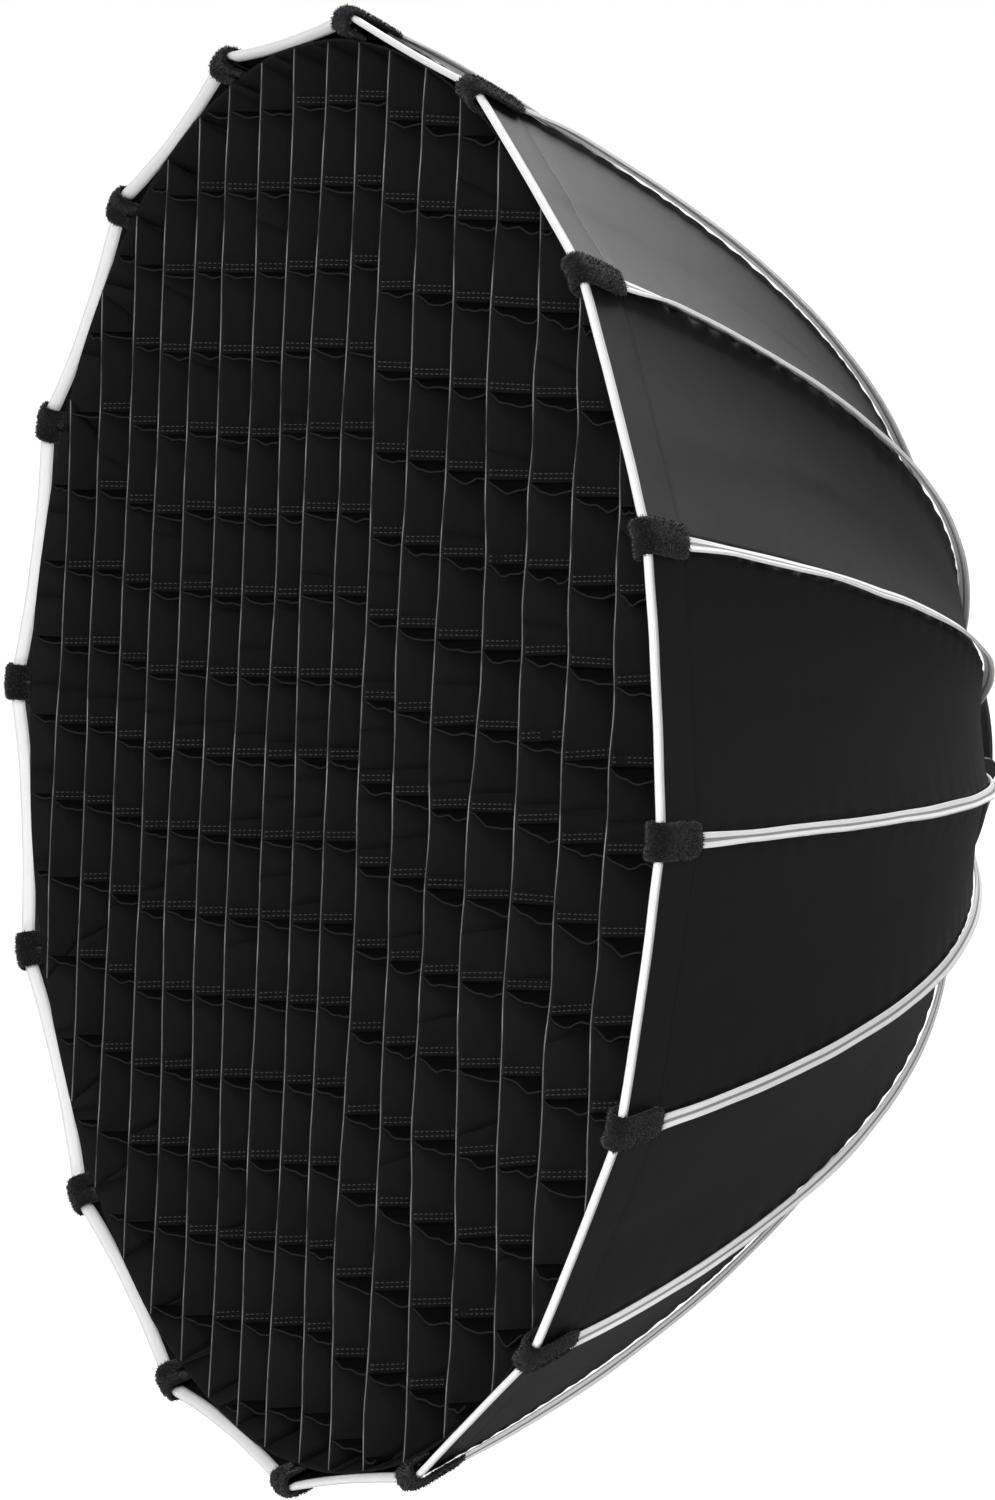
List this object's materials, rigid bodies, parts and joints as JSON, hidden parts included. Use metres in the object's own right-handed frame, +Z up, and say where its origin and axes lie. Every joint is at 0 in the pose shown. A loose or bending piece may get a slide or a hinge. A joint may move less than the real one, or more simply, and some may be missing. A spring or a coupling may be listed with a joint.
{
  "type": "folding parabolic softbox",
  "caption": "Deep round folding softbox with curved sprung ribs, black fabric shell with pale seam tape, fabric grid, two diffusers and a bayonet ring.",
  "frame": {"origin": "centre of the bayonet ring's rear seating face", "axes": "+Y along the optical axis, back towards the lamp; the mouth opens towards -Y; +Z up with rib 1 at the top; +X to the right"},
  "size_m": [0.9062, 0.4407, 0.9062],
  "materials": {
    "bayonet_aluminium": "satin turned",
    "cast_aluminium": "bead blasted",
    "black_polymer": "fine moulded grain",
    "zinc_steel": "satin",
    "spring_steel": "bright wire",
    "grey_polymer": "satin moulded",
    "pin_steel": "ground",
    "black_screw_steel": "black oxide",
    "grid_fabric": "matt woven",
    "diffuser_cloth": "matt white",
    "rod_steel": "black coated",
    "socket_zinc": "satin black",
    "shell_nylon": "coated plain weave"
  },
  "bodies": {
    "hub": {"bayonet_ring": "bayonet_aluminium", "hub_base": "cast_aluminium", "rear_housing": "black_polymer", "hinge_pins": "pin_steel", "screws": "black_screw_steel", "springs": "spring_steel", "grid": "grid_fabric", "front_diffuser": "diffuser_cloth", "inner_diffuser": "diffuser_cloth"},
    "release_ring": {"release_ring": "zinc_steel"},
    "button_left": {"release_button_left": "grey_polymer"},
    "button_right": {"release_button_right": "grey_polymer"},
    "arm_01": {"rib_01": "rod_steel", "socket_01": "socket_zinc", "gore_01": "shell_nylon"},
    "arm_02": {"rib_02": "rod_steel", "socket_02": "socket_zinc", "gore_02": "shell_nylon"},
    "arm_03": {"rib_03": "rod_steel", "socket_03": "socket_zinc", "gore_03": "shell_nylon"},
    "arm_04": {"rib_04": "rod_steel", "socket_04": "socket_zinc", "gore_04": "shell_nylon"},
    "arm_05": {"rib_05": "rod_steel", "socket_05": "socket_zinc", "gore_05": "shell_nylon"},
    "arm_06": {"rib_06": "rod_steel", "socket_06": "socket_zinc", "gore_06": "shell_nylon"},
    "arm_07": {"rib_07": "rod_steel", "socket_07": "socket_zinc", "gore_07": "shell_nylon"},
    "arm_08": {"rib_08": "rod_steel", "socket_08": "socket_zinc", "gore_08": "shell_nylon"},
    "arm_09": {"rib_09": "rod_steel", "socket_09": "socket_zinc", "gore_09": "shell_nylon"},
    "arm_10": {"rib_10": "rod_steel", "socket_10": "socket_zinc", "gore_10": "shell_nylon"},
    "arm_11": {"rib_11": "rod_steel", "socket_11": "socket_zinc", "gore_11": "shell_nylon"},
    "arm_12": {"rib_12": "rod_steel", "socket_12": "socket_zinc", "gore_12": "shell_nylon"},
    "arm_13": {"rib_13": "rod_steel", "socket_13": "socket_zinc", "gore_13": "shell_nylon"},
    "arm_14": {"rib_14": "rod_steel", "socket_14": "socket_zinc", "gore_14": "shell_nylon"},
    "arm_15": {"rib_15": "rod_steel", "socket_15": "socket_zinc", "gore_15": "shell_nylon"},
    "arm_16": {"rib_16": "rod_steel", "socket_16": "socket_zinc", "gore_16": "shell_nylon"}
  },
  "joints": [
    {"name": "fold_01", "type": "hinge", "parent": "hub", "child": "arm_01", "pos_m": [0, -0.034, 0.084], "axis": [1, 0, 0], "range_deg": [0, 45], "deforming": ["gore_01", "gore_02", "gore_03", "gore_04", "gore_05", "gore_06", "gore_07", "gore_08", "gore_09", "gore_10", "gore_11", "gore_12", "gore_13", "gore_14", "gore_15", "gore_16", "grid", "front_diffuser", "inner_diffuser", "springs"]},
    {"name": "fold_02", "type": "hinge", "parent": "hub", "child": "arm_02", "pos_m": [0.03214, -0.034, 0.07761], "axis": [0.9239, 0, -0.3827], "range_deg": [0, 45]},
    {"name": "fold_03", "type": "hinge", "parent": "hub", "child": "arm_03", "pos_m": [0.0594, -0.034, 0.0594], "axis": [0.7071, 0, -0.7071], "range_deg": [0, 45]},
    {"name": "fold_04", "type": "hinge", "parent": "hub", "child": "arm_04", "pos_m": [0.07761, -0.034, 0.03214], "axis": [0.3827, 0, -0.9239], "range_deg": [0, 45]},
    {"name": "fold_05", "type": "hinge", "parent": "hub", "child": "arm_05", "pos_m": [0.084, -0.034, 0], "axis": [0, 0, -1], "range_deg": [0, 45]},
    {"name": "fold_06", "type": "hinge", "parent": "hub", "child": "arm_06", "pos_m": [0.07761, -0.034, -0.03214], "axis": [-0.3827, 0, -0.9239], "range_deg": [0, 45]},
    {"name": "fold_07", "type": "hinge", "parent": "hub", "child": "arm_07", "pos_m": [0.0594, -0.034, -0.0594], "axis": [-0.7071, 0, -0.7071], "range_deg": [0, 45]},
    {"name": "fold_08", "type": "hinge", "parent": "hub", "child": "arm_08", "pos_m": [0.03214, -0.034, -0.07761], "axis": [-0.9239, 0, -0.3827], "range_deg": [0, 45]},
    {"name": "fold_09", "type": "hinge", "parent": "hub", "child": "arm_09", "pos_m": [0, -0.034, -0.084], "axis": [-1, 0, 0], "range_deg": [0, 45]},
    {"name": "fold_10", "type": "hinge", "parent": "hub", "child": "arm_10", "pos_m": [-0.03214, -0.034, -0.07761], "axis": [-0.9239, 0, 0.3827], "range_deg": [0, 45]},
    {"name": "fold_11", "type": "hinge", "parent": "hub", "child": "arm_11", "pos_m": [-0.0594, -0.034, -0.0594], "axis": [-0.7071, 0, 0.7071], "range_deg": [0, 45]},
    {"name": "fold_12", "type": "hinge", "parent": "hub", "child": "arm_12", "pos_m": [-0.07761, -0.034, -0.03214], "axis": [-0.3827, 0, 0.9239], "range_deg": [0, 45]},
    {"name": "fold_13", "type": "hinge", "parent": "hub", "child": "arm_13", "pos_m": [-0.084, -0.034, 0], "axis": [0, 0, 1], "range_deg": [0, 45]},
    {"name": "fold_14", "type": "hinge", "parent": "hub", "child": "arm_14", "pos_m": [-0.07761, -0.034, 0.03214], "axis": [0.3827, 0, 0.9239], "range_deg": [0, 45]},
    {"name": "fold_15", "type": "hinge", "parent": "hub", "child": "arm_15", "pos_m": [-0.0594, -0.034, 0.0594], "axis": [0.7071, 0, 0.7071], "range_deg": [0, 45]},
    {"name": "fold_16", "type": "hinge", "parent": "hub", "child": "arm_16", "pos_m": [-0.03214, -0.034, 0.07761], "axis": [0.9239, 0, 0.3827], "range_deg": [0, 45]},
    {"name": "release_ring_slide", "type": "slide", "parent": "hub", "child": "release_ring", "axis": [0, 1, 0], "range_m": [0, 0.0075]},
    {"name": "button_left_press", "type": "slide", "parent": "hub", "child": "button_left", "axis": [1, 0, 0], "range_m": [0, 0.0035], "stiffness_N_per_m": 400, "springref_m": -0.001, "deforming": ["springs"]},
    {"name": "button_right_press", "type": "slide", "parent": "hub", "child": "button_right", "axis": [-1, 0, 0], "range_m": [0, 0.0035], "stiffness_N_per_m": 400, "springref_m": -0.001, "deforming": ["springs"]}
  ],
  "couplings": [
    {"joint": "fold_02", "follows": "fold_01", "ratio": 1},
    {"joint": "fold_03", "follows": "fold_01", "ratio": 1},
    {"joint": "fold_04", "follows": "fold_01", "ratio": 1},
    {"joint": "fold_05", "follows": "fold_01", "ratio": 1},
    {"joint": "fold_06", "follows": "fold_01", "ratio": 1},
    {"joint": "fold_07", "follows": "fold_01", "ratio": 1},
    {"joint": "fold_08", "follows": "fold_01", "ratio": 1},
    {"joint": "fold_09", "follows": "fold_01", "ratio": 1},
    {"joint": "fold_10", "follows": "fold_01", "ratio": 1},
    {"joint": "fold_11", "follows": "fold_01", "ratio": 1},
    {"joint": "fold_12", "follows": "fold_01", "ratio": 1},
    {"joint": "fold_13", "follows": "fold_01", "ratio": 1},
    {"joint": "fold_14", "follows": "fold_01", "ratio": 1},
    {"joint": "fold_15", "follows": "fold_01", "ratio": 1},
    {"joint": "fold_16", "follows": "fold_01", "ratio": 1},
    {"joint": "release_ring_slide", "follows": "fold_01", "m_per_rad": 0.009549}
  ]
}
